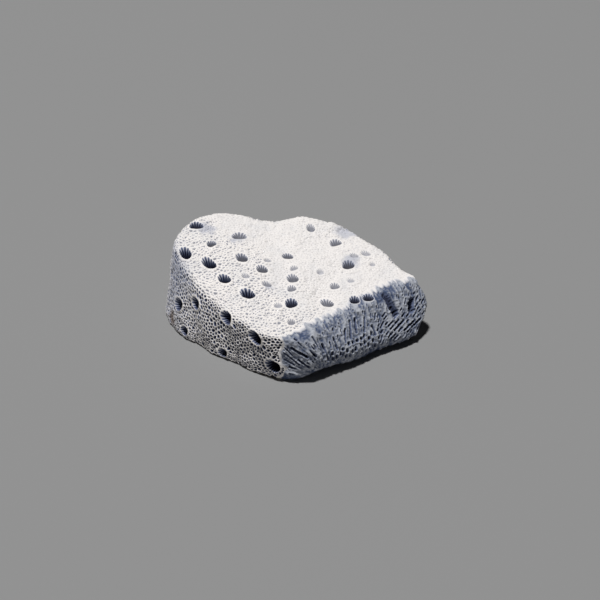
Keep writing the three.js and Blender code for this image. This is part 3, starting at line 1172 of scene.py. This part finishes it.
def coral_material():
    """Matt skin, broken face, hollows and stain, blended by the mesh's own numbers at its points."""
    material, nodes, shader = start_material("coral skeleton", specular=0.25)
    skin = nodes.blend(nodes.map(nodes.noise(MOTTLE_SCALE), 0.45, 0.8), SKIN_WHITE, SKIN_COOL)
    # The coral's blue tint, and painted shade in the same colour on the left side.
    skin = nodes.blend(nodes.attribute("blue_tint_and_side_shade"), skin, SKIN_BLUE)
    # Broken faces: painted shade in their low places, painted light on their ridges.
    face = nodes.blend(nodes.attribute("ridge"), BREAK_SHADED_BLUE, BREAK_LIT_PALE)
    colour = nodes.blend(nodes.attribute("broken"), skin, face)
    # Hollows: painted shade, bluish near the mouth and near black further down, paling where the pore
    # lies level in the light or is worn.
    deep = nodes.blend(nodes.map(nodes.attribute("painted_depth_shade"), 0.1, 0.45), PORE_SHADE_BLUE, PORE_SHADE_DARK)
    deep = nodes.blend(nodes.attribute("paling_by_light_and_wear"), deep, PORE_LIT_AND_WORN)
    colour = nodes.blend(nodes.map(nodes.attribute("painted_depth_shade"), 0.0, 0.15), colour, deep)
    colour = nodes.blend(nodes.attribute("stain"), colour, STAIN_BROWN)
    nodes.join(colour, shader.inputs["Base Color"])

    rough = nodes.map(nodes.noise(GLOSS_SCALE), 0.3, 0.7, to_low=0.78, to_high=0.95)
    nodes.join(rough, shader.inputs["Roughness"])

    bump = nodes.add("ShaderNodeBump")
    bump.inputs["Strength"].default_value = 0.6
    bump.inputs["Distance"].default_value = 0.00005
    nodes.join(nodes.noise(BUMP_SCALE, detail=3.0, roughness=0.65), bump.inputs["Height"])
    nodes.join(bump.outputs["Normal"], shader.inputs["Normal"])
    return material


def floor_material():
    material, _, shader = start_material("pale floor", specular=0.1)
    shader.inputs["Base Color"].default_value = (*FLOOR_GREY, 1)
    shader.inputs["Roughness"].default_value = 0.9
    return material


FLOOR_HALF_WIDTH = 1.5


def make_floor():
    corners = np.array([[-1, -1, 0], [1, -1, 0], [1, 1, 0], [-1, 1, 0]], float) * FLOOR_HALF_WIDTH
    floor = mesh_object("floor", corners, np.array([[0, 1, 2], [0, 2, 3]]), {})
    floor.data.materials.append(floor_material())


def aim(thing, target):
    direction = Vector(target) - thing.location
    thing.rotation_euler = direction.to_track_quat("-Z", "Y").to_euler()


# Lights: name, place, size and watts. Both face the slab's middle.
LIGHTS = (
    ("overhead softbox", (-0.145, 0.0, 1.131), 0.12, 13.3),
    ("low front reflector", (-0.2, -1.08, 0.05), 0.09, 1.05),
)
LIT_PLACE = (0, 0, 0.004)


def add_area_light(name, place, size, watts):
    light = bpy.data.lights.new(name, "AREA")
    light.shape = "DISK"
    light.size = size
    light.energy = watts
    lamp = bpy.data.objects.new(name, light)
    lamp.location = place
    bpy.context.scene.collection.objects.link(lamp)
    aim(lamp, LIT_PLACE)


# Camera: how far above level it looks down, its lens, its distance from what it looks at, and how
# far that is to the right of the slab's centre and below it.
CAMERA_RISE = 33
CAMERA_LENS = 100
CAMERA_DISTANCE = 0.165
AIM_RIGHT = 0.0003
AIM_BELOW = 0.0002


def make_camera(centre):
    camera = bpy.data.cameras.new("camera")
    camera.lens = CAMERA_LENS
    camera.sensor_width = 36
    camera.clip_start = 0.005
    viewer = bpy.data.objects.new("camera", camera)
    rise = math.radians(CAMERA_RISE)
    back = Vector((0, -math.cos(rise), math.sin(rise)))
    up = Vector((0, math.sin(rise), math.cos(rise)))
    target = Vector(centre) + Vector((1, 0, 0)) * AIM_RIGHT - up * AIM_BELOW
    viewer.location = target + back * CAMERA_DISTANCE
    bpy.context.scene.collection.objects.link(viewer)
    aim(viewer, target)
    bpy.context.scene.camera = viewer


def set_world():
    world = bpy.data.worlds.new("studio")
    world.use_nodes = True
    background = world.node_tree.nodes["Background"]
    background.inputs["Color"].default_value = (0.97, 0.98, 1.0, 1)
    background.inputs["Strength"].default_value = 0.02
    bpy.context.scene.world = world
    bpy.context.scene.view_settings.view_transform = "Standard"


# Bluish places on the top: X and Y from the centre, radius. They are full out to this share of it.
BLUE_PLACES = (
    (4.9, 7.2, 1.5), (-9.2, 6.3, 1.3), (-6.0, 4.8, 0.9), (-2.6, -1.8, 0.6), (5.4, 2.6, 1.2),
)
BLUE_CORE = 0.3
PATCH_SWAY = 0.4

# Strength of the blue tint beside the broken faces, on worn skin and in the bluish places; of the
# painted shade, in the same bluish colour, on the left side; and where the tint sets in beside the
# broken faces.
EDGE_TINT = 0.6
WORN_TINT = 0.07
PLACE_TINT = 0.6
LEFT_SIDE_PAINTED_SHADE = 0.65
EDGE_TINT_FROM = (0.15, 0.5)

# A brown stain low on the left end: degrees round, height over the underside, strength, radii.
STAIN_PLACE = (-179, 0.9)
STAIN_STRENGTH = 0.8
STAIN_RADII = (0.3, 1.1)

# The lifts over the smooth skin between which the broken faces turn from painted shade, dark blue in
# their low places, to painted light, pale on their ridges; the painted shade that the foot adds by
# taking lift off; and the heights over the underside where that painted shade ends.
RIDGE_LIFTS = (-0.12, 0.13)
RIDGE_ROUGHNESS = ((0.06, 0.17, 54),)
FOOT_PAINTED_SHADE = 0.15
FOOT_HEIGHTS = (0.0, 1.3)


def more_marks(points, skin, marks):
    """The marks, and at each point too: painted light on the broken faces' ridge tops with painted
    shade in their low places and at their foot, the blue tint with painted shade on the left side, and
    the brown stain.
    """
    lift = ((points - skin) * skin_normal(skin)).sum(-1)
    edge_tint = EDGE_TINT * smooth_step(brokenness(skin), *EDGE_TINT_FROM)
    blue_tint_and_side_shade = np.maximum(edge_tint, WORN_TINT * wornness(skin))
    for x, y, radius in BLUE_PLACES:
        away = np.hypot(skin[:, 0] - x, skin[:, 1] - y) + PATCH_SWAY * grain(skin, 0.5, seed=51)
        blue_tint_and_side_shade = np.maximum(blue_tint_and_side_shade, PLACE_TINT * (1 - smooth_step(away, BLUE_CORE * radius, radius)))
    # Painted shade: the left side, which the overhead light misses, is darkened with the bluish
    # colour.
    weights, _ = facet_weights(skin / length_of(skin))
    shaded_left_side = weights[:, FACET_NAMES.index("left side")] / weights.sum(-1)
    blue_tint_and_side_shade = np.maximum(blue_tint_and_side_shade, LEFT_SIDE_PAINTED_SHADE * shaded_left_side)
    # Painted shade at the foot of the broken faces, darker towards the underside.
    foot = FOOT_PAINTED_SHADE * (1 - smooth_step(skin[:, 2] + CENTRE_HEIGHT, *FOOT_HEIGHTS))
    stain_middle = side_places(np.array([STAIN_PLACE[0]]), np.array([STAIN_PLACE[1]]))
    away = np.linalg.norm(skin - stain_middle, axis=-1) + PATCH_SWAY * grain(skin, 0.5, seed=53)
    more = {
        # Painted light on the ridge tops and painted shade in the low places of the broken faces, by
        # their lift.
        "ridge": smooth_step(lift - foot + roughness(skin, RIDGE_ROUGHNESS), *RIDGE_LIFTS),
        "blue_tint_and_side_shade": blue_tint_and_side_shade * (1 - marks["broken"]),
        "stain": STAIN_STRENGTH * (1 - smooth_step(away, *STAIN_RADII)),
    }
    return {**marks, **more}


points, triangles, skin, marks = build_coral()
centre = find_centre()
marks = more_marks(points, skin, marks)
coral = mesh_object("coral_skeleton", points * MILLIMETRE + centre, triangles, marks)
coral.data.materials.append(coral_material())
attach(coral, "root")
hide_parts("coral")

make_floor()
make_camera(centre)
set_world()
for light in LIGHTS:
    add_area_light(*light)
